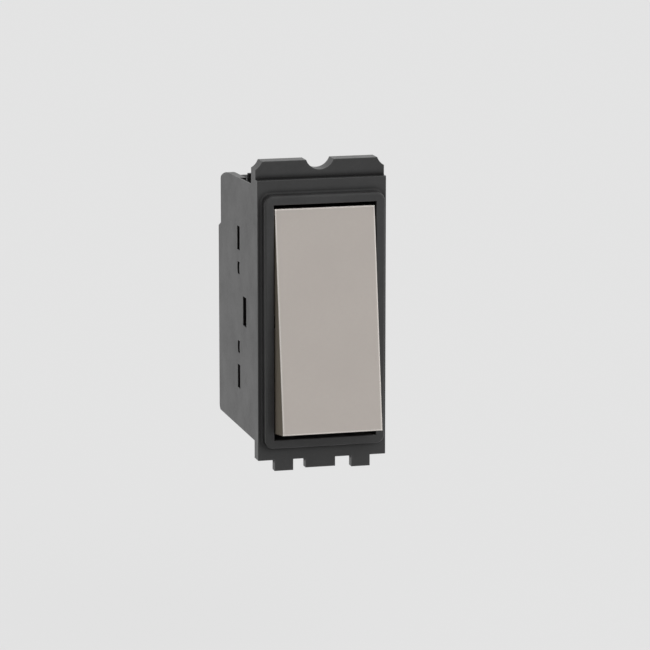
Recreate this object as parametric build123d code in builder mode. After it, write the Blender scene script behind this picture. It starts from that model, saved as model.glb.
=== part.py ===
from build123d import *
import math
import os

# Rocker switch module for a grid plate, shown unmounted.
# X runs to the right, Y to the back and Z up. The origin is the middle of the rocker window,
# in the plane of the front plate. Lengths are millimetres and angles degrees.
os.makedirs("parts", exist_ok=True)

# Front plate and the raised rim round the window
module_width = 23.3
plate_height = 50.0
plate_thickness = 2.76
plate_edge_radius = 0.15
rim_side_margin = 0.8
rim_end_margin = 2.5
rim_projection = 2.34
rim_corner_radius = 1.5
rim_edge_radius = 0.4
rim_root_radius = 0.45
window_side_border = 1.6
window_end_border = 1.56
window_edge_chamfer = 0.1

# Screw lug at the top, set back behind the plate
lug_rise = 3.15
lug_front = 1.5
lug_back = 4.6
lug_corner_width = 1.22
lug_corner_height = 1.42
lug_corner_radius = 2.6
lug_notch_radius = 2.63
lug_notch_offset = 0.88

# Locating tabs below the plate: left edge, right edge and drop of each
tab_thickness = 1.6
left_tab = (-8.67, -5.29, 2.0)
middle_tab = (-3.04, 2.39, 1.69)
right_tab = (5.38, 8.76, 2.0)

# Body behind the plate
wall = 1.35
floor_thickness = 0.93
body_depth = 29.9
upper_depth = 28.1
step_height = 12.8
step_slant = 0.8
back_corner_radius = 1.0
cheek_rise = 2.0
cheek_fall = 0.65
cheek_bend_setback = 6.2
cheek_bend_drop = 1.55
cheek_bend_radius = 15.0
cheek_corner_radius = 0.8
recess_end = 13.95
recess_wall = 0.45
top_wall_depth = 9.4
floor_depth = 29.2

# Slots through each side wall: depth from the front, width, and heights above the middle
long_slot_depth = 14.4
long_slot_width = 1.85
long_slot_low = 10.45
long_slot_high = 14.75
bow_slot_depth = 14.25
bow_slot_width = 1.4
bow_slot_low = 6.1
bow_slot_high = 8.3
bow_rise = 0.3
latch_slot_depth = 9.85
latch_slot_width = 2.5
latch_slot_length = 5.3

# Rocker: a flat face that tilts about trunnions near the plate
tilt = 8.03
pivot_depth = -0.49
face_offset = 4.25
rocker_side_gap = 0.222
rocker_end_gap = 1.117
rocker_skirt = 3.4
rocker_wall = 1.2
rocker_face_thickness = 1.6
rocker_edge_radius = 0.15
trunnion_radius = 1.2
trunnion_reach = 0.75
trunnion_clearance = 0.05
carrier_clearance = 0.1
carrier_plate = 1.4
cheek_length = 6.4
cheek_depth = 2.4
cheek_thickness = 1.5
carrier_rib = 1.0
rib_depth = 3.2

# Plunger and its spring in the carrier's stem
stem_radius = 2.5
stem_reach = 8.5
stem_bore_radius = 1.6
stem_bore_floor = 0.8
plunger_radius = 1.5
plunger_tip_chamfer = 1.0
plunger_tail = 6.0
spring_wire_radius = 0.2
spring_wire_sides = 5
spring_radius = 1.2
spring_turns = 4
spring_clearance = 0.06

# Rocking contact on its fulcrum
contact_rock = 6.75
contact_pivot_depth = 12.8
contact_half_thickness = 0.3
contact_width = 4.4
contact_half_length = 9.0
contact_lug_radius = 0.5
contact_lug_reach = 3.9
contact_corner_radius = 0.9
tip_height = 7.6
tip_radius = 1.4
moving_tip_thickness = 0.4
tip_dome = 0.2
tip_gap = 0.05
rivet_radius = 0.7
plunger_gap = 0.08

# Contact strips on the chamber floor
strip_thickness = 0.8
strip_half_width = 4.0
chamber_floor = 15.9
common_half_height = 3.4
arm_inner = 5.6
arm_outer = 16.4
ear_inner = 2.6
ear_thickness = 0.8
ear_half_height = 1.7
ear_front = 11.9
notch_clearance = 0.06

# Rear base
base_clearance = 0.1
base_front = 9.6
base_back = 27.9
base_edge_chamfer = 0.3
base_ridge_half_width = 9.4
base_ridge_front = 15.8
base_ridge_thickness = 0.9
chamber_half_width = 5.2
chamber_half_height = 17.4
cover_thickness = 1.1
cover_half_width = 8.0
cover_half_height = 19.2
cover_clearance = 0.1
cover_slot_half_width = 1.9
cover_slot_half_height = 3.6
latch_projection = 0.75
latch_thickness = 1.2
latch_margin = 0.2
rear_groove_width = 1.0
rear_groove_depth = 0.8

# Terminals in line down the back
terminal_pitch = 13.0
block_half_height = 3.6
block_clearance = 0.15
block_left = -8.6
block_back = 26.2
wire_x = -5.5
wire_radius = 2.2
wire_end = 17.0
entry_radius = 2.7
entry_funnel_radius = 3.2
entry_funnel_depth = 0.7
screw_angle = 45.0
clamp_depth = 17.9
thread_start = 6.6
screw_radius = 1.45
thread_clearance = 0.05
screw_tip_start = 4.1
screw_tip_radius = 0.9
screw_tip_length = 0.55
screw_under_head = 9.2
screw_head_radius = 2.3
screw_head_height = 1.5
screw_slot_width = 0.6
screw_slot_depth = 0.7
shoulder_half_width = 2.6
driver_radius = 2.5

half_width = module_width / 2
inner_half_width = half_width - wall
rim_width = module_width - 2 * rim_side_margin
rim_height = plate_height - 2 * rim_end_margin
window_width = rim_width - 2 * window_side_border
window_height = rim_height - 2 * window_end_border
inner_half_height = window_height / 2
body_half_height = inner_half_height + floor_thickness
cheek_top = body_half_height + cheek_rise
lug_top = plate_height / 2 + lug_rise
lug_notch_centre = lug_top + lug_notch_offset
rocker_width = window_width - 2 * rocker_side_gap
rocker_length = window_height - 2 * rocker_end_gap


def upright(depth):
    """An upright plane that faces the front, at this depth."""
    return Plane.XZ.offset(-depth)


def write(node, label):
    node.part.label = label
    export_step(node.part, f"parts/{label}.step")


# Housing: plate, rim, lug, tabs and the two cheeks are one moulding
cheek_bend = (upper_depth - cheek_bend_setback, cheek_top - cheek_fall)
cheek_corner = (upper_depth, cheek_bend[1] - cheek_bend_drop)
cheek_outline = [
    cheek_bend,
    (plate_thickness / 2, cheek_top),
    (plate_thickness / 2, -body_half_height),
    (body_depth, -body_half_height),
    (body_depth, step_height - step_slant / 2),
    (upper_depth, step_height + step_slant / 2),
    cheek_corner,
]
with BuildPart() as housing:
    with BuildSketch(upright(plate_thickness)):
        Rectangle(module_width, plate_height)
    extrude(amount=plate_thickness)
    fillet(housing.edges().filter_by(Axis.Z).group_by(Axis.Y)[0], plate_edge_radius)
    with BuildSketch(upright(0)):
        RectangleRounded(rim_width, rim_height, rim_corner_radius)
    extrude(amount=rim_projection)
    rim_front = housing.faces().sort_by(Axis.Y)[0]
    fillet(rim_front.edges(), rim_edge_radius)
    rim_root = housing.edges().filter_by(
        lambda edge: abs(edge.center().Y) < 0.01
        and abs(edge.center().X) < rim_width / 2 + 0.01
        and abs(edge.center().Z) < rim_height / 2 + 0.01
    )
    fillet(rim_root, rim_root_radius)

    with BuildSketch(upright(lug_back)):
        with BuildLine():
            corner_side = lug_top - lug_corner_height
            corner_top = half_width - lug_corner_width
            notch_reach = math.sqrt(lug_notch_radius**2 - (lug_notch_centre - lug_top) ** 2)
            Line((-half_width, corner_side), (-half_width, inner_half_height))
            Line((-half_width, inner_half_height), (half_width, inner_half_height))
            Line((half_width, inner_half_height), (half_width, corner_side))
            RadiusArc((half_width, corner_side), (corner_top, lug_top), lug_corner_radius)
            Line((corner_top, lug_top), (notch_reach, lug_top))
            ThreePointArc(
                (notch_reach, lug_top),
                (0, lug_notch_centre - lug_notch_radius),
                (-notch_reach, lug_top),
            )
            Line((-notch_reach, lug_top), (-corner_top, lug_top))
            RadiusArc((-corner_top, lug_top), (-half_width, corner_side), lug_corner_radius)
        make_face()
    extrude(amount=lug_back - lug_front)

    for tab_left, tab_right, tab_drop in (left_tab, middle_tab, right_tab):
        with BuildSketch(upright(tab_thickness)):
            with Locations(((tab_left + tab_right) / 2, -plate_height / 2)):
                Rectangle(tab_right - tab_left, 2 * tab_drop)
        extrude(amount=tab_thickness)

    for cheek_side in (-half_width, inner_half_width):
        with BuildSketch(Plane.YZ.offset(cheek_side)) as cheek:
            with BuildLine():
                Polyline(*cheek_outline)
                RadiusArc(cheek_corner, cheek_bend, -cheek_bend_radius)
            make_face()
            back_corners = cheek.vertices().group_by(Axis.X)[-1]
            fillet(back_corners.sort_by(Axis.Y)[0], back_corner_radius)
            upper_corner = cheek.vertices().filter_by(
                lambda corner: abs(corner.X - upper_depth) < 0.01
            )
            fillet(upper_corner.sort_by(Axis.Y)[-1], cheek_corner_radius)
        extrude(amount=wall)

    floor_middle = (body_half_height + inner_half_height) / 2
    with BuildSketch(upright(floor_depth)):
        with Locations((0, -floor_middle)):
            Rectangle(module_width - wall, floor_thickness)
    extrude(amount=floor_depth - plate_thickness / 2)
    with BuildSketch(upright(top_wall_depth)):
        with Locations((0, floor_middle)):
            Rectangle(module_width - wall, floor_thickness)
    extrude(amount=top_wall_depth - plate_thickness / 2)

    # Behind the lug the cheeks are thin above the body
    with BuildSketch(upright(recess_end)):
        with Locations((0, body_half_height + cheek_rise / 2)):
            Rectangle(module_width - 2 * recess_wall, cheek_rise)
    extrude(amount=recess_end - lug_back, mode=Mode.SUBTRACT)

    # Window through the plate
    with BuildSketch(upright(plate_thickness)):
        Rectangle(window_width, window_height)
    extrude(amount=plate_thickness + rim_projection, mode=Mode.SUBTRACT)
    window_edges = housing.edges().filter_by(
        lambda edge: abs(edge.center().Y + rim_projection) < 0.01
        and abs(edge.center().X) < window_width / 2 + 0.01
        and abs(edge.center().Z) < window_height / 2 + 0.01
    )
    chamfer(window_edges, window_edge_chamfer)

    # Blind pockets for the rocker's trunnions
    pocket_reach = window_width / 2 + trunnion_reach + carrier_clearance
    with BuildSketch(Plane.YZ):
        with Locations((pivot_depth, 0)):
            Circle(trunnion_radius + trunnion_clearance)
    extrude(amount=pocket_reach, both=True, mode=Mode.SUBTRACT)

    # Slots through both cheeks
    with BuildSketch(Plane.YZ):
        with Locations((latch_slot_depth, 0)):
            Rectangle(latch_slot_width, latch_slot_length)
        long_slot_middle = (long_slot_low + long_slot_high) / 2
        with Locations((long_slot_depth, long_slot_middle), (long_slot_depth, -long_slot_middle)):
            Rectangle(long_slot_width, long_slot_high - long_slot_low)
    extrude(amount=half_width, both=True, mode=Mode.SUBTRACT)
    for side in (1, -1):
        bow_front = bow_slot_depth - bow_slot_width / 2
        bow_back = bow_slot_depth + bow_slot_width / 2
        bow_middle = (bow_slot_low + bow_slot_high) / 2
        with BuildSketch(Plane.YZ):
            with BuildLine():
                ThreePointArc(
                    (bow_front, side * bow_slot_low),
                    (bow_front + bow_rise, side * bow_middle),
                    (bow_front, side * bow_slot_high),
                )
                Line((bow_front, side * bow_slot_high), (bow_back, side * bow_slot_high))
                ThreePointArc(
                    (bow_back, side * bow_slot_high),
                    (bow_back + bow_rise, side * bow_middle),
                    (bow_back, side * bow_slot_low),
                )
                Line((bow_back, side * bow_slot_low), (bow_front, side * bow_slot_low))
            make_face()
        extrude(amount=half_width, both=True, mode=Mode.SUBTRACT)
write(housing, "housing")

# Rocker, made in its own tilted plane: local X is right, local Y up the face, local Z out of it
tilt_cos = math.cos(math.radians(tilt))
tilt_sin = math.sin(math.radians(tilt))
rocker_plane = Plane(
    origin=(0, pivot_depth, 0), x_dir=(1, 0, 0), z_dir=(0, -tilt_cos, tilt_sin)
)
rocker_axis = Axis(rocker_plane.origin, rocker_plane.z_dir)
cap_inner_width = rocker_width - 2 * rocker_wall
cap_inner_length = rocker_length - 2 * rocker_wall
with BuildPart() as rocker_cap:
    with BuildSketch(rocker_plane.offset(-rocker_skirt)):
        Rectangle(rocker_width, rocker_length)
    extrude(amount=rocker_skirt + face_offset)
    fillet(rocker_cap.faces().sort_by(rocker_axis)[-1].edges(), rocker_edge_radius)
    with BuildSketch(rocker_plane.offset(-rocker_skirt)):
        Rectangle(cap_inner_width, cap_inner_length)
    extrude(
        amount=rocker_skirt + face_offset - rocker_face_thickness, mode=Mode.SUBTRACT
    )
    trunnion_slot = trunnion_radius + carrier_clearance
    with BuildSketch(rocker_plane.offset(-rocker_skirt)):
        Rectangle(rocker_width, 2 * trunnion_slot)
    extrude(amount=rocker_skirt + trunnion_slot, mode=Mode.SUBTRACT)
write(rocker_cap, "rocker_cap")

carrier_half_width = cap_inner_width / 2 - carrier_clearance
carrier_half_length = cap_inner_length / 2 - carrier_clearance
carrier_top = face_offset - rocker_face_thickness - carrier_clearance / 2
with BuildPart() as rocker_carrier:
    with BuildSketch(rocker_plane.offset(carrier_top - carrier_plate)):
        Rectangle(2 * carrier_half_width, 2 * carrier_half_length)
    extrude(amount=carrier_plate)
    # A rib all round and one across each half stiffen the plate
    with BuildSketch(rocker_plane.offset(carrier_top - rib_depth)):
        Rectangle(2 * carrier_half_width, 2 * carrier_half_length)
        Rectangle(
            2 * (carrier_half_width - carrier_rib),
            2 * (carrier_half_length - carrier_rib),
            mode=Mode.SUBTRACT,
        )
        with GridLocations(0, carrier_half_length, 1, 2):
            Rectangle(2 * carrier_half_width, carrier_rib)
    extrude(amount=rib_depth)
    # Two cheeks carry the trunnions
    cheek_middle = carrier_half_width - cheek_thickness / 2
    with BuildSketch(rocker_plane.offset(-cheek_depth)):
        with GridLocations(2 * cheek_middle, 0, 2, 1):
            Rectangle(cheek_thickness, cheek_length)
    extrude(amount=cheek_depth + carrier_top - carrier_plate / 2)
    trunnion_tip = window_width / 2 + trunnion_reach
    trunnion_root = carrier_half_width - cheek_thickness / 2
    for side in (1, -1):
        with BuildSketch(Plane.YZ.offset(side * trunnion_root)):
            with Locations((pivot_depth, 0)):
                Circle(trunnion_radius)
        extrude(amount=side * (trunnion_tip - trunnion_root))
    # Stem with a blind bore for the spring and plunger
    with BuildSketch(rocker_plane.offset(-stem_reach)):
        Circle(stem_radius)
    extrude(amount=stem_reach + carrier_top - carrier_plate / 2)
    with BuildSketch(rocker_plane.offset(-stem_reach)):
        Circle(stem_bore_radius)
    extrude(amount=stem_reach + stem_bore_floor, mode=Mode.SUBTRACT)
write(rocker_carrier, "rocker_carrier")

contact_front = contact_pivot_depth - contact_half_thickness
plunger_reach = contact_front - plunger_gap - pivot_depth
with BuildPart() as plunger:
    with BuildSketch(rocker_plane.offset(-plunger_reach)):
        Circle(plunger_radius)
    extrude(amount=plunger_reach - plunger_tail)
    tip_face = plunger.faces().sort_by(Axis.Y)[-1]
    chamfer(tip_face.edges(), plunger_tip_chamfer)
write(plunger, "plunger")

spring_start = plunger_tail - spring_clearance - spring_wire_radius
spring_end = -stem_bore_floor + spring_clearance + spring_wire_radius
spring_length = spring_start - spring_end
spring_foot = rocker_plane.offset(-spring_start).origin
with BuildPart() as plunger_spring:
    with BuildLine():
        coil = Helix(
            pitch=spring_length / spring_turns,
            height=spring_length,
            radius=spring_radius,
            center=spring_foot,
            direction=rocker_plane.z_dir,
        )
    with BuildSketch(Plane(origin=coil @ 0, z_dir=coil % 0)):
        RegularPolygon(spring_wire_radius, spring_wire_sides)
    sweep(path=coil, is_frenet=True)
write(plunger_spring, "plunger_spring")

# Rocking contact, made in a plane tilted so that its lower tip is closed
rock_cos = math.cos(math.radians(contact_rock))
rock_sin = math.sin(math.radians(contact_rock))
contact_plane = Plane(
    origin=(0, contact_pivot_depth, 0), x_dir=(1, 0, 0), z_dir=(0, -rock_cos, -rock_sin)
)
rivet_hole = rivet_radius + trunnion_clearance
with BuildPart() as moving_contact:
    with BuildSketch(contact_plane.offset(-contact_half_thickness)):
        RectangleRounded(contact_width, 2 * contact_half_length, contact_corner_radius)
        with GridLocations(0, 2 * tip_height, 1, 2):
            Circle(rivet_hole, mode=Mode.SUBTRACT)
    extrude(amount=2 * contact_half_thickness)
    # A round lug on each side rests in the fulcrum
    for side in (1, -1):
        with BuildSketch(Plane.YZ.offset(side * contact_width / 2)):
            with Locations((contact_pivot_depth, 0)):
                Circle(contact_lug_radius)
        extrude(amount=side * (contact_lug_reach - contact_width / 2))
write(moving_contact, "moving_contact")

for place, side in (("upper", 1), ("lower", -1)):
    with BuildPart() as moving_tip:
        with BuildSketch(contact_plane.offset(-contact_half_thickness)):
            with Locations((0, side * tip_height)):
                Circle(tip_radius)
        extrude(amount=-moving_tip_thickness)
        tip_face = moving_tip.faces().sort_by(Axis(contact_plane.origin, contact_plane.z_dir))[0]
        chamfer(tip_face.edges(), tip_dome)
        with BuildSketch(contact_plane.offset(-contact_half_thickness)):
            with Locations((0, side * tip_height)):
                Circle(rivet_radius)
        extrude(amount=2 * contact_half_thickness)
    write(moving_tip, f"moving_tip_{place}")

strip_front = chamber_floor - strip_thickness
ear_middle = ear_inner + ear_thickness / 2
with BuildPart() as common_bracket:
    with BuildSketch(upright(chamber_floor)):
        Rectangle(2 * strip_half_width, 2 * common_half_height)
    extrude(amount=strip_thickness)
    with BuildSketch(upright(chamber_floor)):
        with GridLocations(2 * ear_middle, 0, 2, 1):
            Rectangle(ear_thickness, 2 * ear_half_height)
    extrude(amount=chamber_floor - ear_front)
    # Open notches seat the rocking contact's side lugs
    notch_radius = contact_lug_radius + notch_clearance
    with BuildSketch(Plane.YZ):
        with Locations((contact_pivot_depth, 0)):
            Circle(notch_radius)
        with Locations(((contact_pivot_depth + ear_front) / 2, 0)):
            Rectangle(contact_pivot_depth - ear_front, 2 * notch_radius)
    extrude(amount=strip_half_width, both=True, mode=Mode.SUBTRACT)
write(common_bracket, "common_bracket")

# The fixed tips stand where the moving tips' faces come to when closed
face_reach = contact_half_thickness + moving_tip_thickness
closed_depth = contact_pivot_depth + face_reach * rock_cos + tip_height * rock_sin
closed_height = tip_height * rock_cos - face_reach * rock_sin
edge_lean = (tip_radius - tip_dome) * rock_sin
fixed_face = closed_depth + edge_lean + tip_gap
for place, side in (("upper", 1), ("lower", -1)):
    arm_middle = side * (arm_inner + arm_outer) / 2
    with BuildPart() as contact_arm:
        with BuildSketch(upright(chamber_floor)):
            with Locations((0, arm_middle)):
                Rectangle(2 * strip_half_width, arm_outer - arm_inner)
            with Locations((0, side * closed_height)):
                Circle(rivet_hole, mode=Mode.SUBTRACT)
        extrude(amount=strip_thickness)
    write(contact_arm, f"{place}_contact_arm")

    with BuildPart() as fixed_tip:
        with BuildSketch(upright(strip_front)):
            with Locations((0, side * closed_height)):
                Circle(tip_radius)
        extrude(amount=strip_front - fixed_face)
        with BuildSketch(upright(chamber_floor)):
            with Locations((0, side * closed_height)):
                Circle(rivet_radius)
        extrude(amount=strip_thickness)
    write(fixed_tip, f"fixed_tip_{place}")

# Terminal block outline, seen along Z, with a slanted shoulder square to the screw
screw_cos = math.cos(math.radians(screw_angle))
screw_sin = math.sin(math.radians(screw_angle))


def along_screw(distance, sideways=0.0):
    """A point in plan on the screw's axis, and sideways from it towards the front right."""
    return (
        wire_x + distance * screw_sin + sideways * screw_cos,
        clamp_depth + distance * screw_cos - sideways * screw_sin,
    )


shoulder_left = along_screw(thread_start, -shoulder_half_width)
shoulder_right = along_screw(thread_start, shoulder_half_width)
block_outline = [
    (block_left, block_back),
    (shoulder_left[0], block_back),
    shoulder_left,
    shoulder_right,
    (shoulder_right[0], chamber_floor),
    (block_left, chamber_floor),
]
terminals = (("upper", terminal_pitch), ("common", 0.0), ("lower", -terminal_pitch))


def screw_plane(height, distance):
    """A plane square to a terminal screw, facing the rear."""
    across, depth = along_screw(distance)
    return Plane(origin=(across, depth, height), x_dir=(0, 0, 1), z_dir=(screw_sin, screw_cos, 0))


for place, height in terminals:
    with BuildPart() as terminal_block:
        with BuildSketch(Plane.XY.offset(height)):
            with BuildLine():
                Polyline(*block_outline, close=True)
            make_face()
        extrude(amount=block_half_height, both=True)
        with BuildSketch(upright(block_back)):
            with Locations((wire_x, height)):
                Circle(wire_radius)
        extrude(amount=block_back - wire_end, mode=Mode.SUBTRACT)
        with BuildSketch(screw_plane(height, 0)):
            Circle(screw_radius + thread_clearance)
        extrude(amount=thread_start + screw_radius, mode=Mode.SUBTRACT)
    write(terminal_block, f"{place}_terminal")

    with BuildPart() as terminal_screw:
        with BuildSketch(screw_plane(height, screw_tip_start)):
            Circle(screw_tip_radius)
        with BuildSketch(screw_plane(height, screw_tip_start + screw_tip_length)):
            Circle(screw_radius)
        loft()
        with BuildSketch(screw_plane(height, screw_tip_start + screw_tip_length)):
            Circle(screw_radius)
        extrude(amount=screw_under_head - screw_tip_start - screw_tip_length)
        with BuildSketch(screw_plane(height, screw_under_head)):
            Circle(screw_head_radius)
        extrude(amount=screw_head_height)
        screw_top = screw_under_head + screw_head_height
        with BuildSketch(screw_plane(height, screw_top)):
            Rectangle(screw_slot_width, 2 * screw_head_radius)
        extrude(amount=-screw_slot_depth, mode=Mode.SUBTRACT)
    write(terminal_screw, f"{place}_terminal_screw")

# Rear base, with the contact chamber open to the front and one pocket for each terminal
base_half_width = inner_half_width - base_clearance
base_bottom = -(inner_half_height - base_clearance)
cover_seat = base_front + cover_thickness
pocket_outline = [
    (block_left - block_clearance, block_back + block_clearance),
    (shoulder_left[0] + block_clearance, block_back + block_clearance),
    (shoulder_left[0] + block_clearance, shoulder_left[1] + block_clearance),
    (shoulder_right[0] + block_clearance, shoulder_right[1] + block_clearance),
    (shoulder_right[0] + block_clearance, cover_seat),
    (block_left - block_clearance, cover_seat),
]
with BuildPart() as rear_base:
    with BuildSketch(upright(base_back)):
        with Locations((0, (body_half_height + base_bottom) / 2)):
            Rectangle(2 * base_half_width, body_half_height - base_bottom)
    extrude(amount=base_back - base_front)
    chamfer(rear_base.faces().sort_by(Axis.Y)[-1].edges(), base_edge_chamfer)
    with BuildSketch(upright(base_ridge_front + base_ridge_thickness)):
        with Locations((0, body_half_height)):
            Rectangle(2 * base_ridge_half_width, 2 * cheek_rise)
    extrude(amount=base_ridge_thickness)
    # Snap latches fill the middle slots in the cheeks
    latch_width = latch_projection + latch_thickness
    with BuildSketch(upright(latch_slot_depth + latch_slot_width / 2 - latch_margin)):
        with GridLocations(2 * (base_half_width + latch_projection) - latch_width, 0, 2, 1):
            Rectangle(latch_width, latch_slot_length - 2 * latch_margin)
    extrude(amount=latch_slot_width - 2 * latch_margin)
    # Seat of the chamber cover, then the chamber
    with BuildSketch(upright(cover_seat)):
        Rectangle(
            2 * (cover_half_width + cover_clearance), 2 * (cover_half_height + cover_clearance)
        )
    extrude(amount=cover_thickness, mode=Mode.SUBTRACT)
    with BuildSketch(upright(chamber_floor)):
        Rectangle(2 * chamber_half_width, 2 * chamber_half_height)
    extrude(amount=chamber_floor - cover_seat, mode=Mode.SUBTRACT)
    for place, height in terminals:
        with BuildSketch(Plane.XY.offset(height)):
            with BuildLine():
                Polyline(*pocket_outline, close=True)
            make_face()
        extrude(
            amount=block_half_height + block_clearance, both=True, mode=Mode.SUBTRACT
        )
        with BuildSketch(screw_plane(height, thread_start)):
            Circle(driver_radius)
        extrude(amount=2 * thread_start, mode=Mode.SUBTRACT)
        with BuildSketch(upright(base_back)):
            with Locations((wire_x, height)):
                Circle(entry_radius)
        extrude(amount=base_back - block_back, mode=Mode.SUBTRACT)
        with BuildSketch(upright(base_back)):
            with Locations((wire_x, height)):
                Circle(entry_funnel_radius)
        with BuildSketch(upright(base_back - entry_funnel_depth)):
            with Locations((wire_x, height)):
                Circle(entry_radius)
        loft(mode=Mode.SUBTRACT)
    # Grooves between the terminals on the rear face
    with BuildSketch(upright(base_back)):
        with GridLocations(0, terminal_pitch, 1, 2):
            Rectangle(2 * base_half_width, rear_groove_width)
    extrude(amount=rear_groove_depth, mode=Mode.SUBTRACT)
write(rear_base, "rear_base")

with BuildPart() as chamber_cover:
    with BuildSketch(upright(cover_seat)):
        Rectangle(2 * cover_half_width, 2 * cover_half_height)
        Rectangle(2 * cover_slot_half_width, 2 * cover_slot_half_height, mode=Mode.SUBTRACT)
    extrude(amount=cover_thickness)
write(chamber_cover, "chamber_cover")
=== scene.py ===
import math
import bmesh
import bpy
import numpy as np
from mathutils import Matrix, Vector


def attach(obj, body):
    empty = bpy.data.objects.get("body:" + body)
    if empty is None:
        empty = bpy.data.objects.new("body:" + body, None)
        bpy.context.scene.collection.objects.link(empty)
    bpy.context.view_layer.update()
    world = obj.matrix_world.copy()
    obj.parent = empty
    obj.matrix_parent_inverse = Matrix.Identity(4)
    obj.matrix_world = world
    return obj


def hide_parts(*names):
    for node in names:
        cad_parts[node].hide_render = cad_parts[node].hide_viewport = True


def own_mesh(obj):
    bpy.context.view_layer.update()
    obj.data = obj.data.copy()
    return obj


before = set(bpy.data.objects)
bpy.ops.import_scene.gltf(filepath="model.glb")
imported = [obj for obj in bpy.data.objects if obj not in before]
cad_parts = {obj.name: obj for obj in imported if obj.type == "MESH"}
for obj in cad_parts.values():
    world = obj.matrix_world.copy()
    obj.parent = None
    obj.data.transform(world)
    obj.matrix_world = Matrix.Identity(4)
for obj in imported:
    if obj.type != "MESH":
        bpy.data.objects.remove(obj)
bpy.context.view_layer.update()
print("frame loaded:", len(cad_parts), "nodes")

mm = 0.001
farOff = 1.0  # metres, past every part of the object
mergeDistance = 0.0004 * mm

# camera: from a fit to the edges of the lug, plate, window, rim, rocker and tabs
cameraFacts = {
    "azimuth": -14.78,  # degrees, negative to the left of the front
    "elevation": 11.10,  # degrees, above level
    "distance": 638.4 * mm,  # from the middle of the view
    "centre": (0.44 * mm, -0.34 * mm, -1.06 * mm),
    "lens": 200.8,  # millimetres, as the sensor's width is
    "sensor": 36.0,
    "clipStart": 10 * mm,
}


def addCamera():
    azimuth = math.radians(cameraFacts["azimuth"])
    elevation = math.radians(cameraFacts["elevation"])
    away = Vector((
        math.sin(azimuth) * math.cos(elevation),
        -math.cos(azimuth) * math.cos(elevation),
        math.sin(elevation),
    ))
    data = bpy.data.cameras.new("camera")
    data.lens = cameraFacts["lens"]
    data.sensor_width = cameraFacts["sensor"]
    data.clip_start = cameraFacts["clipStart"]
    camera = bpy.data.objects.new("camera", data)
    camera.location = Vector(cameraFacts["centre"]) + away * cameraFacts["distance"]
    camera.rotation_euler = (-away).to_track_quat("-Z", "Y").to_euler()
    bpy.context.scene.collection.objects.link(camera)
    bpy.context.scene.camera = camera
    print("camera at", [round(value, 4) for value in camera.location])


# small helpers for node trees: in each, a value is a number, a colour or another node's output
def addNode(tree, kind, **settings):
    node = tree.nodes.new(kind)
    for key, value in settings.items():
        setattr(node, key, value)
    return node


def feed(tree, socket, value):
    if hasattr(value, "is_output"):
        tree.links.new(value, socket)
    else:
        socket.default_value = value


def addMath(tree, operation, first, second):
    node = addNode(tree, "ShaderNodeMath", operation=operation)
    feed(tree, node.inputs[0], first)
    feed(tree, node.inputs[1], second)
    return node.outputs[0]


# two colours mixed by a share from 0 to 1
def addMix(tree, share, first, second):
    node = addNode(tree, "ShaderNodeMix", data_type="RGBA")
    feed(tree, node.inputs["Factor"], share)
    feed(tree, node.inputs[6], first)
    feed(tree, node.inputs[7], second)
    return node.outputs[2]


# a value carried from one range to another and held at its ends
def addRange(tree, value, fromLow, fromHigh, toLow=0.0, toHigh=1.0):
    node = addNode(tree, "ShaderNodeMapRange")
    feed(tree, node.inputs["Value"], value)
    feed(tree, node.inputs["From Min"], fromLow)
    feed(tree, node.inputs["From Max"], fromHigh)
    feed(tree, node.inputs["To Min"], toLow)
    feed(tree, node.inputs["To Max"], toHigh)
    return node.outputs[0]


def addNoise(tree, vector, scale, detail):
    node = addNode(tree, "ShaderNodeTexNoise")
    feed(tree, node.inputs["Vector"], vector)
    feed(tree, node.inputs["Scale"], scale)
    feed(tree, node.inputs["Detail"], detail)
    return node.outputs["Fac"]


# two shaders mixed by a share from 0 to 1
def addShaderMix(tree, share, first, second):
    node = addNode(tree, "ShaderNodeMixShader")
    feed(tree, node.inputs["Fac"], share)
    feed(tree, node.inputs[1], first.outputs[0])
    feed(tree, node.inputs[2], second.outputs[0])
    return node


def opaque(colour):
    return (*colour, 1)


def newMaterial(name):
    material = bpy.data.materials.new(name)
    material.use_nodes = True
    tree = material.node_tree
    coords = addNode(tree, "ShaderNodeTexCoord")
    return material, tree, tree.nodes["Principled BSDF"], coords.outputs["Object"]


# a group with inputs and outputs given as label and kind; each placing of it gives every input
def newGroup(name, inputs, outputs):
    group = bpy.data.node_groups.new(name, "ShaderNodeTree")
    for direction, sockets in (("INPUT", inputs), ("OUTPUT", outputs)):
        for label, kind in sockets.items():
            group.interface.new_socket(label, in_out=direction, socket_type="NodeSocket" + kind)
    source = group.nodes.new("NodeGroupInput")
    sink = group.nodes.new("NodeGroupOutput")
    return group, source.outputs, sink.inputs


def placeGroup(tree, group, values):
    node = addNode(tree, "ShaderNodeGroup", node_tree=group)
    for label, value in values.items():
        feed(tree, node.inputs[label], value)
    return node


# values that all the finishes share
effectFacts = {
    "fineDetail": 3.0,
    "mediumScale": 0.31,  # of the grain's own scale
    "mediumDetail": 2.0,
    "driftDetail": 4.0,
    "grainRange": (0.25, 0.75),
    "streakDetail": 4.0,
    "stainScale": 400.0,
    "stainDetail": 2.0,
    "streakRange": (0.35, 0.65),
    "raySamples": 8,
    "edgeSamples": 6,
}


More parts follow.
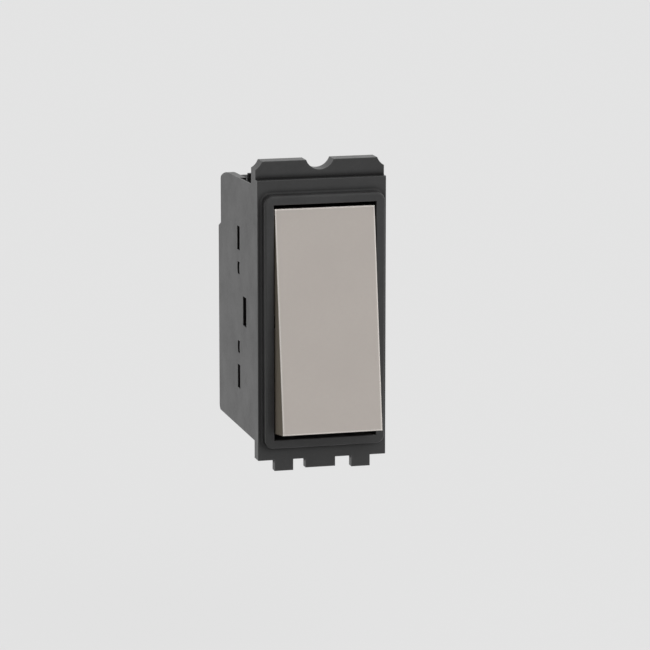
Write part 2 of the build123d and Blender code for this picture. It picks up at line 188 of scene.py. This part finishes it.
# spark-eroded mould texture: the height is fine plus medium noise, and the tone is that height
# times a slow noise
def makeMouldGrain():
    facts = effectFacts
    group, source, sink = newGroup(
        "mouldGrain",
        {
            "Vector": "Vector",
            "Grain Scale": "Float",
            "Drift Scale": "Float",
            "Dark": "Color",
            "Light": "Color",
        },
        {"Height": "Float", "Colour": "Color", "Mask": "Float"},
    )
    fine = addNoise(group, source["Vector"], source["Grain Scale"], facts["fineDetail"])
    mediumScale = addMath(group, "MULTIPLY", source["Grain Scale"], facts["mediumScale"])
    medium = addNoise(group, source["Vector"], mediumScale, facts["mediumDetail"])
    height = addMath(group, "ADD", fine, medium)
    drift = addNoise(group, source["Vector"], source["Drift Scale"], facts["driftDetail"])
    tone = addMath(group, "MULTIPLY", drift, height)
    mask = addRange(group, tone, *facts["grainRange"])
    feed(group, sink["Height"], height)
    feed(group, sink["Colour"], addMix(group, mask, source["Dark"], source["Light"]))
    feed(group, sink["Mask"], mask)
    return group


# drawn or rolled metal: the height is noise stretched along one axis into streaks, and the tone is
# the mean of the streaks and a slow stain
def makeDrawnMetal():
    facts = effectFacts
    group, source, sink = newGroup(
        "drawnMetal",
        {
            "Vector": "Vector",
            "Along": "Vector",
            "Streak Scale": "Float",
            "Dark": "Color",
            "Light": "Color",
        },
        {"Height": "Float", "Colour": "Color", "Mask": "Float"},
    )
    stretch = addNode(group, "ShaderNodeVectorMath", operation="MULTIPLY")
    feed(group, stretch.inputs[0], source["Vector"])
    feed(group, stretch.inputs[1], source["Along"])
    streak = addNoise(group, stretch.outputs[0], source["Streak Scale"], facts["streakDetail"])
    stain = addNoise(group, source["Vector"], facts["stainScale"], facts["stainDetail"])
    tone = addMath(group, "MULTIPLY", addMath(group, "ADD", streak, stain), 0.5)
    mask = addRange(group, tone, *facts["streakRange"])
    feed(group, sink["Height"], streak)
    feed(group, sink["Colour"], addMix(group, mask, source["Dark"], source["Light"]))
    feed(group, sink["Mask"], mask)
    return group


# a box in the piece's own coordinates, alike on its left and right: 1 inside it and 0 outside
def makeInsideBox():
    group, source, sink = newGroup(
        "insideBox",
        {"Vector": "Vector", "Low": "Vector", "High": "Vector"},
        {"Mask": "Float"},
    )
    parts = {}
    for label in ("Vector", "Low", "High"):
        split = addNode(group, "ShaderNodeSeparateXYZ")
        feed(group, split.inputs[0], source[label])
        parts[label] = list(split.outputs)
    parts["Vector"][0] = addMath(group, "ABSOLUTE", parts["Vector"][0], 0.0)
    mask = 1.0
    for value, low, high in zip(parts["Vector"], parts["Low"], parts["High"]):
        above = addMath(group, "GREATER_THAN", value, low)
        below = addMath(group, "LESS_THAN", value, high)
        mask = addMath(group, "MULTIPLY", mask, addMath(group, "MULTIPLY", above, below))
    feed(group, sink["Mask"], mask)
    return group


# which side of the surface the rays run on, and how open it is where the effect starts and is full
wallFacts = {
    # the outside rays paint shade in corners and grooves, the inside rays paint a highlight on
    # outer edges
    "paintedCornerShade": {"inside": False, "starts": 0.97, "full": 0.60},
    "paintedEdgeHighlight": {"inside": True, "starts": 0.96, "full": 0.55},
}


# near walls: the colour goes over to the near colour where rays as long as the reach soon meet the
# piece's own walls; outside the piece that is in a corner or groove, where this paints shade, and
# inside it beside an outer edge, where this paints a highlight
def makeNearWall(name):
    facts = wallFacts[name]
    group, source, sink = newGroup(
        name,
        {"Colour": "Color", "Near Colour": "Color", "Reach": "Float", "Amount": "Float"},
        {"Colour": "Color", "Mask": "Float"},
    )
    rays = addNode(
        group, "ShaderNodeAmbientOcclusion",
        samples=effectFacts["raySamples"], inside=facts["inside"], only_local=True,
    )
    feed(group, rays.inputs["Distance"], source["Reach"])
    near = addRange(group, rays.outputs["AO"], facts["starts"], facts["full"])
    mask = addMath(group, "MULTIPLY", near, source["Amount"])
    feed(group, sink["Colour"], addMix(group, mask, source["Colour"], source["Near Colour"]))
    feed(group, sink["Mask"], mask)
    return group


def makeEffectGroups():
    groups = {"mouldGrain": makeMouldGrain(), "drawnMetal": makeDrawnMetal()}
    groups.update({name: makeNearWall(name) for name in wallFacts})
    groups["insideBox"] = makeInsideBox()
    return groups


# joins an effect to the shader: its colour with painted highlights on outer edges, painted shade in
# corners and boxes of painted shade, its mask as a roughness between two values, and its height as
# a bump over softened edges
def finishSurface(tree, shader, coords, effect, facts):
    # painted highlight: a lighter colour beside the piece's outer edges
    edgeHighlight = placeGroup(tree, effectGroups["paintedEdgeHighlight"], {
        "Colour": effect.outputs["Colour"],
        "Near Colour": opaque(facts["edgeHighlightColour"]),
        "Reach": facts["edgeHighlightReach"],
        "Amount": facts["edgeHighlightAmount"],
    })
    # painted shade: a darker colour in corners and grooves
    cornerShade = placeGroup(tree, effectGroups["paintedCornerShade"], {
        "Colour": edgeHighlight.outputs["Colour"],
        "Near Colour": opaque(facts["cornerShadeColour"]),
        "Reach": facts["cornerShadeReach"],
        "Amount": facts["cornerShadeAmount"],
    })
    colour = cornerShade.outputs["Colour"]
    roughness = addRange(tree, effect.outputs["Mask"], 0.0, 1.0, *facts["rough"])
    roughness = addMath(tree, "MAXIMUM", roughness, cornerShade.outputs["Mask"])
    # boxes of painted shade: inside each box the colour goes over to the painted shade colour
    for low, high in facts.get("pockets", []):
        pocket = placeGroup(tree, effectGroups["insideBox"], {
            "Vector": coords,
            "Low": low,
            "High": high,
        })
        colour = addMix(tree, pocket.outputs["Mask"], colour, opaque(facts["paintedShadeColour"]))
        roughness = addMath(tree, "MAXIMUM", roughness, pocket.outputs["Mask"])
    feed(tree, shader.inputs["Base Color"], colour)
    feed(tree, shader.inputs["Roughness"], roughness)
    softEdge = addNode(tree, "ShaderNodeBevel", samples=effectFacts["edgeSamples"])
    feed(tree, softEdge.inputs["Radius"], facts["edge"])
    bump = addNode(tree, "ShaderNodeBump")
    feed(tree, bump.inputs["Distance"], facts["bumpDepth"])
    feed(tree, bump.inputs["Strength"], facts["bumpStrength"])
    feed(tree, bump.inputs["Height"], effect.outputs["Height"])
    feed(tree, bump.inputs["Normal"], softEdge.outputs[0])
    feed(tree, shader.inputs["Normal"], bump.outputs["Normal"])


# a moulded plastic from its dictionary
def plastic(name, facts):
    material, tree, shader, coords = newMaterial(name)
    effect = placeGroup(tree, effectGroups["mouldGrain"], {
        "Vector": coords,
        "Grain Scale": facts["grainScale"],
        "Drift Scale": facts["driftScale"],
        "Dark": opaque(facts["dark"]),
        "Light": opaque(facts["light"]),
    })
    finishSurface(tree, shader, coords, effect, facts)
    shader.inputs["IOR"].default_value = facts["ior"]
    return material


# a drawn or rolled metal from its dictionary
def metal(name, facts):
    material, tree, shader, coords = newMaterial(name)
    effect = placeGroup(tree, effectGroups["drawnMetal"], {
        "Vector": coords,
        "Along": facts["along"],
        "Streak Scale": facts["streakScale"],
        "Dark": opaque(facts["dark"]),
        "Light": opaque(facts["light"]),
    })
    finishSurface(tree, shader, coords, effect, facts)
    shader.inputs["Metallic"].default_value = 1.0
    return material


# in each finish, the edge colour with its reach and amount paints a highlight on outer edges, and
# the corner colour with its reach and amount paints shade in corners and grooves
plasticFacts = {
    "housingPlastic": {
        "dark": (0.0305, 0.0305, 0.0306), "light": (0.0375, 0.0375, 0.0377), "rough": (0.30, 0.38),
        "grainScale": 5200.0, "driftScale": 220.0, "bumpDepth": 0.02 * mm, "bumpStrength": 0.30,
        "ior": 1.37, "edge": 0.06 * mm,
        "edgeHighlightColour": (0.080, 0.080, 0.081), "edgeHighlightReach": 0.20 * mm, "edgeHighlightAmount": 0.6,
        "cornerShadeColour": (0.002, 0.002, 0.002), "cornerShadeReach": 1.2 * mm, "cornerShadeAmount": 0.92,
        # painted shade on the inside walls of the shell and on the sunk part of each cheek's top
        # edge
        "paintedShadeColour": (0.0015, 0.0015, 0.0015),
        "pockets": [
            ((-farOff, 4.7 * mm, -21.85 * mm), (11.55 * mm, farOff, 21.85 * mm)),
            ((10.2 * mm, 4.7 * mm, 21.85 * mm), (11.42 * mm, 14.05 * mm, farOff)),
        ],
    },
    "rockerPlastic": {
        "dark": (0.378, 0.342, 0.314), "light": (0.392, 0.355, 0.326), "rough": (0.34, 0.40),
        "grainScale": 5200.0, "driftScale": 120.0, "bumpDepth": 0.01 * mm, "bumpStrength": 0.10,
        "ior": 1.46, "edge": 0.03 * mm,
        "edgeHighlightColour": (0.84, 0.81, 0.76), "edgeHighlightReach": 0.34 * mm, "edgeHighlightAmount": 1.0,
        "cornerShadeColour": (0.20, 0.17, 0.14), "cornerShadeReach": 0.5 * mm, "cornerShadeAmount": 0.4,
        # painted shade on the side walls: darker, a little yellower and duller than the face
        "paintedShadeColour": (0.290, 0.250, 0.196),
        "pockets": [((9.018 * mm, -farOff, -farOff), (farOff, farOff, farOff))],
    },
    "basePlastic": {
        "dark": (0.0020, 0.0020, 0.0021), "light": (0.0045, 0.0045, 0.0047), "rough": (0.48, 0.60),
        "grainScale": 4200.0, "driftScale": 180.0, "bumpDepth": 0.015 * mm, "bumpStrength": 0.25,
        "ior": 1.33, "edge": 0.08 * mm,
        "edgeHighlightColour": (0.02, 0.02, 0.02), "edgeHighlightReach": 0.15 * mm, "edgeHighlightAmount": 0.4,
        "cornerShadeColour": (0.0015, 0.0015, 0.0015), "cornerShadeReach": 0.8 * mm, "cornerShadeAmount": 0.6,
    },
    "coverPlastic": {
        "dark": (0.0010, 0.0010, 0.0009), "light": (0.0022, 0.0021, 0.0019), "rough": (0.80, 0.90),
        "grainScale": 4200.0, "driftScale": 180.0, "bumpDepth": 0.015 * mm, "bumpStrength": 0.2,
        "ior": 1.2, "edge": 0.10 * mm,
        "edgeHighlightColour": (0.01, 0.01, 0.01), "edgeHighlightReach": 0.15 * mm, "edgeHighlightAmount": 0.3,
        "cornerShadeColour": (0.001, 0.001, 0.001), "cornerShadeReach": 0.8 * mm, "cornerShadeAmount": 0.6,
    },
    "carrierPlastic": {
        "dark": (0.56, 0.56, 0.53), "light": (0.63, 0.63, 0.60), "rough": (0.35, 0.45),
        "grainScale": 4200.0, "driftScale": 180.0, "bumpDepth": 0.01 * mm, "bumpStrength": 0.15,
        "ior": 1.5, "edge": 0.10 * mm,
        "edgeHighlightColour": (0.72, 0.72, 0.70), "edgeHighlightReach": 0.15 * mm, "edgeHighlightAmount": 0.5,
        "cornerShadeColour": (0.34, 0.33, 0.30), "cornerShadeReach": 0.6 * mm, "cornerShadeAmount": 0.5,
        # painted shade on the trunnions, where they show in the gap beside the rocker
        "paintedShadeColour": (0.02, 0.019, 0.017),
        "pockets": [((8.85 * mm, -farOff, -farOff), (farOff, farOff, farOff))],
    },
}

# as in the plastics, the edge colour paints a highlight on outer edges and the corner colour paints
# shade in corners and grooves
# along: how fast the streaks change on each axis, slow on the one that they run along
metalFacts = {
    "terminalBrass": {
        "dark": (0.56, 0.38, 0.15), "light": (0.74, 0.54, 0.25), "rough": (0.26, 0.40),
        "along": (1.0, 1.0, 0.06), "streakScale": 5000.0,
        "bumpDepth": 0.01 * mm, "bumpStrength": 0.3, "edge": 0.10 * mm,
        "edgeHighlightColour": (0.86, 0.68, 0.38), "edgeHighlightReach": 0.12 * mm, "edgeHighlightAmount": 0.6,
        "cornerShadeColour": (0.30, 0.19, 0.08), "cornerShadeReach": 0.4 * mm, "cornerShadeAmount": 0.7,
    },
    "contactBrass": {
        "dark": (0.62, 0.40, 0.20), "light": (0.78, 0.54, 0.30), "rough": (0.20, 0.34),
        "along": (1.0, 1.0, 0.05), "streakScale": 6000.0,
        "bumpDepth": 0.008 * mm, "bumpStrength": 0.25, "edge": 0.06 * mm,
        "edgeHighlightColour": (0.88, 0.66, 0.42), "edgeHighlightReach": 0.12 * mm, "edgeHighlightAmount": 0.6,
        "cornerShadeColour": (0.34, 0.20, 0.10), "cornerShadeReach": 0.4 * mm, "cornerShadeAmount": 0.7,
    },
    "contactSilver": {
        "dark": (0.76, 0.75, 0.72), "light": (0.88, 0.87, 0.84), "rough": (0.18, 0.30),
        "along": (1.0, 1.0, 1.0), "streakScale": 4000.0,
        "bumpDepth": 0.006 * mm, "bumpStrength": 0.2, "edge": 0.04 * mm,
        "edgeHighlightColour": (0.92, 0.91, 0.88), "edgeHighlightReach": 0.12 * mm, "edgeHighlightAmount": 0.6,
        "cornerShadeColour": (0.45, 0.44, 0.42), "cornerShadeReach": 0.4 * mm, "cornerShadeAmount": 0.7,
    },
    "springSteel": {
        "dark": (0.42, 0.42, 0.43), "light": (0.60, 0.60, 0.61), "rough": (0.22, 0.34),
        "along": (1.0, 1.0, 1.0), "streakScale": 5000.0,
        "bumpDepth": 0.005 * mm, "bumpStrength": 0.2, "edge": 0.04 * mm,
        "edgeHighlightColour": (0.70, 0.70, 0.71), "edgeHighlightReach": 0.12 * mm, "edgeHighlightAmount": 0.6,
        "cornerShadeColour": (0.22, 0.22, 0.22), "cornerShadeReach": 0.4 * mm, "cornerShadeAmount": 0.7,
    },
    "screwZinc": {
        "dark": (0.55, 0.55, 0.53), "light": (0.72, 0.72, 0.70), "rough": (0.24, 0.38),
        "along": (1.0, 1.0, 0.3), "streakScale": 4000.0,
        "bumpDepth": 0.01 * mm, "bumpStrength": 0.25, "edge": 0.06 * mm,
        "edgeHighlightColour": (0.84, 0.84, 0.82), "edgeHighlightReach": 0.12 * mm, "edgeHighlightAmount": 0.6,
        "cornerShadeColour": (0.28, 0.28, 0.27), "cornerShadeReach": 0.4 * mm, "cornerShadeAmount": 0.7,
    },
}
nodeFinish = {
    "housing": "housingPlastic",
    "rear_base": "basePlastic",
    "chamber_cover": "coverPlastic",
    "rocker_cap": "rockerPlastic",
    "rocker_carrier": "carrierPlastic",
    "plunger": "carrierPlastic",
    "plunger_spring": "springSteel",
    "moving_contact": "contactBrass",
    "common_bracket": "contactBrass",
    "upper_contact_arm": "contactBrass",
    "lower_contact_arm": "contactBrass",
    "moving_tip_upper": "contactSilver",
    "moving_tip_lower": "contactSilver",
    "fixed_tip_upper": "contactSilver",
    "fixed_tip_lower": "contactSilver",
    "upper_terminal": "terminalBrass",
    "common_terminal": "terminalBrass",
    "lower_terminal": "terminalBrass",
    "upper_terminal_screw": "screwZinc",
    "common_terminal_screw": "screwZinc",
    "lower_terminal_screw": "screwZinc",
}


def makeFinishes():
    made = {name: plastic(name, facts) for name, facts in plasticFacts.items()}
    made.update({name: metal(name, facts) for name, facts in metalFacts.items()})
    return made


def dressNodes():
    for node, finish in nodeFinish.items():
        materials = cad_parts[node].data.materials
        materials.clear()
        materials.append(finishes[finish])
    print("materials:", len(finishes), "finishes on", len(nodeFinish), "nodes")


# studio: an even pale surround, a soft dome of light from the front and a weaker one from behind
studioFacts = {
    "paleColour": (0.768, 0.768, 0.768),
    "fill": 0.03,
    "domePower": 2.0,
    "frontTowards": (0.52, -0.78, 0.33),
    "frontStrength": 3.02,
    "rearTowards": (0.45, 0.80, 0.40),
    "rearStrength": 1.10,
    "floorColour": (0.36, 0.36, 0.36),
    "floorGlow": (0.913, 0.913, 0.913),
    "floorHeight": -62 * mm,
    "floorSize": 12.0,
    "floorShadow": 0.25,  # share of the floor's look that takes the shadow
}


# light that fades as the squared cosine of the angle from its axis, on that side alone
def addDome(tree, towards, axis, strength):
    dot = addNode(tree, "ShaderNodeVectorMath", operation="DOT_PRODUCT")
    feed(tree, dot.inputs[0], towards)
    feed(tree, dot.inputs[1], Vector(axis).normalized())
    cosine = addMath(tree, "MAXIMUM", dot.outputs["Value"], 0.0)
    faded = addMath(tree, "POWER", cosine, studioFacts["domePower"])
    return addMath(tree, "MULTIPLY", faded, strength)


# 1 for camera, glossy and transmission rays, 0 for the rays that light the object
def seenDirectly(tree):
    path = addNode(tree, "ShaderNodeLightPath").outputs
    either = addMath(tree, "MAXIMUM", path["Is Camera Ray"], path["Is Glossy Ray"])
    return addMath(tree, "MAXIMUM", either, path["Is Transmission Ray"])


# the rays that light the object meet the domes and a faint fill, and the rest see the pale colour
def addSurround():
    facts = studioFacts
    world = bpy.data.worlds.new("studio")
    bpy.context.scene.world = world
    world.use_nodes = True
    tree = world.node_tree
    towards = addNode(tree, "ShaderNodeTexCoord").outputs["Generated"]
    front = addDome(tree, towards, facts["frontTowards"], facts["frontStrength"])
    rear = addDome(tree, towards, facts["rearTowards"], facts["rearStrength"])
    strength = addMath(tree, "ADD", addMath(tree, "ADD", front, rear), facts["fill"])
    lighting = tree.nodes["Background"]
    feed(tree, lighting.inputs["Color"], (1, 1, 1, 1))
    feed(tree, lighting.inputs["Strength"], strength)
    seen = addNode(tree, "ShaderNodeBackground")
    feed(tree, seen.inputs["Color"], opaque(facts["paleColour"]))
    surround = addShaderMix(tree, seenDirectly(tree), lighting, seen)
    feed(tree, tree.nodes["World Output"].inputs["Surface"], surround.outputs[0])


# floor: mostly its own glow to the camera and to reflections, with a faint soft shadow, and clear
# from underneath, so that a view from below still shows the object
def addFloor():
    facts = studioFacts
    half, height = facts["floorSize"] / 2, facts["floorHeight"]
    corners = [(-half, -half), (half, -half), (half, half), (-half, half)]
    mesh = bpy.data.meshes.new("floor")
    mesh.from_pydata([(*corner, height) for corner in corners], [], [(0, 1, 2, 3)])
    floor = bpy.data.objects.new("floor", mesh)
    bpy.context.scene.collection.objects.link(floor)
    material = bpy.data.materials.new("paleFloor")
    material.use_nodes = True
    tree = material.node_tree
    tree.nodes.remove(tree.nodes["Principled BSDF"])
    matt = addNode(tree, "ShaderNodeBsdfDiffuse")
    feed(tree, matt.inputs["Color"], opaque(facts["floorColour"]))
    glow = addNode(tree, "ShaderNodeEmission")
    feed(tree, glow.inputs["Color"], opaque(facts["floorGlow"]))
    share = addMath(tree, "MULTIPLY", seenDirectly(tree), 1 - facts["floorShadow"])
    above = addShaderMix(tree, share, matt, glow)
    clear = addNode(tree, "ShaderNodeBsdfTransparent")
    below = addNode(tree, "ShaderNodeNewGeometry").outputs["Backfacing"]
    surface = addShaderMix(tree, below, above, clear)
    feed(tree, tree.nodes["Material Output"].inputs["Surface"], surface.outputs[0])
    mesh.materials.append(material)


def addStudio():
    bpy.context.scene.view_settings.view_transform = "Standard"
    addSurround()
    addFloor()
    print("studio: pale floor, even surround and two soft domes of light")


# quads of a grid whose rows are rings: each ring joins the next, and its last point joins its first
def ringQuads(rows, columns, start):
    corner = np.arange(rows * columns).reshape(rows, columns) + start
    beside = np.roll(corner, -1, axis=1)
    quads = np.stack([corner[:-1], beside[:-1], beside[1:], corner[1:]], axis=-1)
    return quads.reshape(-1, 4)


# one mesh from grids of rings: poles are merged, faces turned outwards, and edges sharper than the
# piece's own limit kept sharp
def makePiece(name, grids, facts):
    sizes = [grid.shape[0] * grid.shape[1] for grid in grids]
    starts = np.cumsum([0] + sizes[:-1])
    points = np.concatenate([grid.reshape(-1, 3) for grid in grids])
    quads = [ringQuads(*grid.shape[:2], start) for grid, start in zip(grids, starts)]
    mesh = bpy.data.meshes.new(name)
    mesh.from_pydata(points.tolist(), [], np.concatenate(quads).tolist())
    work = bmesh.new()
    work.from_mesh(mesh)
    bmesh.ops.remove_doubles(work, verts=work.verts, dist=mergeDistance)
    bmesh.ops.recalc_face_normals(work, faces=work.faces)
    work.to_mesh(mesh)
    work.free()
    mesh.shade_smooth()
    mesh.set_sharp_from_angle(angle=math.radians(facts["sharpAngle"]))
    mesh.materials.append(finishes[facts["finish"]])
    piece = bpy.data.objects.new(name, mesh)
    bpy.context.scene.collection.objects.link(piece)
    return piece


# terminal screws: a rolled thread with a coned tip under a slotted cheese head, in millimetres,
# with lengths measured along the screw's axis from its foot
screwFacts = {
    "bodies": {"upper": 13.0, "common": 0.0, "lower": -13.0},  # heights
    "foot": (-5.5, 17.9),
    "axis": (math.sqrt(0.5), math.sqrt(0.5), 0.0),
    "tipStart": 4.1, "tipRadius": 0.9, "tipEnd": 4.65,
    "threadRadius": 1.45, "threadRoot": 1.17, "threadPitch": 0.5, "threadEnd": 8.75,
    "rootFlat": 0.12, "flank": 0.74,  # shares of half a pitch
    "headStart": 9.2, "headEnd": 10.7, "headRadius": 2.3,
    "headOverlap": 0.2,  # how far the shank runs into the head
    "headChamfer": 0.22,
    "chamferShare": 0.6,  # of half a short chord, the most that its chamfer takes
    "slotWidth": 0.6, "slotDepth": 0.7, "slotChamfer": 0.02, "slotWall": 0.002,
    "stations": 170, "around": 40, "chords": 44, "sharpAngle": 40,
    "finish": "screwZinc", "slot": "screw_steel",
}


# thread: the radius is a wave of the length divided by the pitch less the angle divided by a full
# turn, clipped flat at root and crest, and never more than the cone of the tip
def threadGrid(facts, foot, axis, side, up):
    end = facts["headStart"] + facts["headOverlap"]
    along = np.linspace(facts["tipStart"], end, facts["stations"])
    turn = np.arange(facts["around"]) / facts["around"]
    share = (along[:, None] / facts["threadPitch"] - turn[None, :]) % 1.0
    wave = np.clip((1 - np.abs(2 * share - 1) - facts["rootFlat"]) / facts["flank"], 0, 1)
    fade = np.clip((facts["threadEnd"] - along) / facts["threadPitch"], 0, 1)[:, None]
    depth = facts["threadRadius"] - facts["threadRoot"]
    radius = facts["threadRoot"] + depth * wave * fade
    slope = (facts["threadRadius"] - facts["tipRadius"]) / (facts["tipEnd"] - facts["tipStart"])
    cone = facts["tipRadius"] + slope * (along - facts["tipStart"])
    radius = np.minimum(radius, cone[:, None])
    radius = np.concatenate([radius[:1] * 0, radius, radius[-1:] * 0])
    along = np.concatenate([along[:1], along, along[-1:]])
    angle = 2 * math.pi * turn
    spoke = np.cos(angle)[:, None] * side + np.sin(angle)[:, None] * up
    return foot + along[:, None, None] * axis + radius[..., None] * spoke[None]


# head: chords across the disc, each carried round as a closed section whose top drops by the
# slot's depth where the chord lies inside the slot's width
def headGrid(facts, foot, axis, side, up):
    radius, half = facts["headRadius"], facts["slotWidth"] / 2
    even = radius * np.sin(np.linspace(-math.pi / 2, math.pi / 2, facts["chords"]))
    wall = half + facts["slotWall"]
    chord = np.sort(np.concatenate([even, [-wall, -half, half, wall]]))
    inSlot = np.abs(chord) <= half
    reach = np.sqrt(np.maximum(radius ** 2 - chord ** 2, 0))
    top = np.where(inSlot, facts["headEnd"] - facts["slotDepth"], facts["headEnd"])
    cut = np.minimum(facts["headChamfer"], reach * facts["chamferShare"])
    cut = np.where(inSlot, facts["slotChamfer"], cut)
    bottom = np.full_like(chord, facts["headStart"])
    across = np.stack([-reach, -reach, -(reach - cut), reach - cut, reach, reach], axis=1)
    height = np.stack([bottom, top - cut, top, top, top - cut, bottom], axis=1)
    return foot + height[..., None] * axis + across[..., None] * side + chord[:, None, None] * up


def addScrews():
    facts = screwFacts
    axis = np.array(facts["axis"])
    up = np.array((0.0, 0.0, 1.0))
    side = np.cross(up, axis)
    for body, height in facts["bodies"].items():
        foot = np.array((*facts["foot"], height))
        grids = [grid(facts, foot, axis, side, up) * mm for grid in (threadGrid, headGrid)]
        piece = makePiece(body + "_threaded_screw", grids, facts)
        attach(piece, body + "_screw")
        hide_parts(body + "_terminal_screw")


# plunger spring: round wire wound with its end turns closed, inside the rocker's stem, in
# millimetres
springFacts = {
    "foot": (0.0, -0.49, 0.0),
    "tilt": 8.03,  # degrees that the rocker's face leans back at rest
    "from": -5.74, "to": 0.54,  # middle of the wire at its ends, along the stem
    "radius": 1.2, "wireRadius": 0.2, "turns": 6.0,
    "closedTurns": 0.8, "closedRise": 2.02,  # wire radii that a closed turn rises
    "stations": 240, "around": 12, "sharpAngle": 60,
    "travel": 0.8,
    "finish": "springSteel", "slot": "spring_steel",
}


# spring: a ring carried along a helix, whose rise is one wire a turn in the end turns and even
# between them
def springGrid(facts, axis, side, up):
    foot = np.array(facts["foot"])
    start, end, wire = facts["from"], facts["to"], facts["wireRadius"]
    closed, turns = facts["closedTurns"], facts["turns"]
    rise = facts["closedRise"] * wire * closed
    turn = np.linspace(0, turns, facts["stations"])
    along = np.interp(
        turn, [0, closed, turns - closed, turns], [start, start + rise, end - rise, end],
    )
    spoke = np.cos(2 * math.pi * turn)[:, None] * side + np.sin(2 * math.pi * turn)[:, None] * up
    middle = foot + along[:, None] * axis + facts["radius"] * spoke
    run = np.gradient(middle, axis=0)
    run /= np.linalg.norm(run, axis=1, keepdims=True)
    third = np.cross(run, spoke)
    angle = 2 * math.pi * np.arange(facts["around"]) / facts["around"]
    outward = np.cos(angle)[None, :, None] * spoke[:, None]
    ring = outward + np.sin(angle)[None, :, None] * third[:, None]
    thick = np.full(len(turn) + 2, wire)
    thick[[0, -1]] = 0
    rows = np.concatenate([[0], np.arange(len(turn)), [len(turn) - 1]])
    return middle[rows][:, None] + thick[:, None, None] * ring[rows]


# the spring, built as it stands at rest and carried with the rocker
def addSpring():
    facts = springFacts
    lean = math.radians(facts["tilt"])
    axis = np.array((0.0, -math.cos(lean), math.sin(lean)))
    side = np.array((1.0, 0.0, 0.0))
    up = np.cross(axis, side)
    piece = makePiece("wound_spring", [springGrid(facts, axis, side, up) * mm], facts)
    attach(piece, "rocker")
    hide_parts("plunger_spring")
    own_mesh(piece)


addCamera()
addStudio()
effectGroups = makeEffectGroups()
finishes = makeFinishes()
dressNodes()
addScrews()
addSpring()
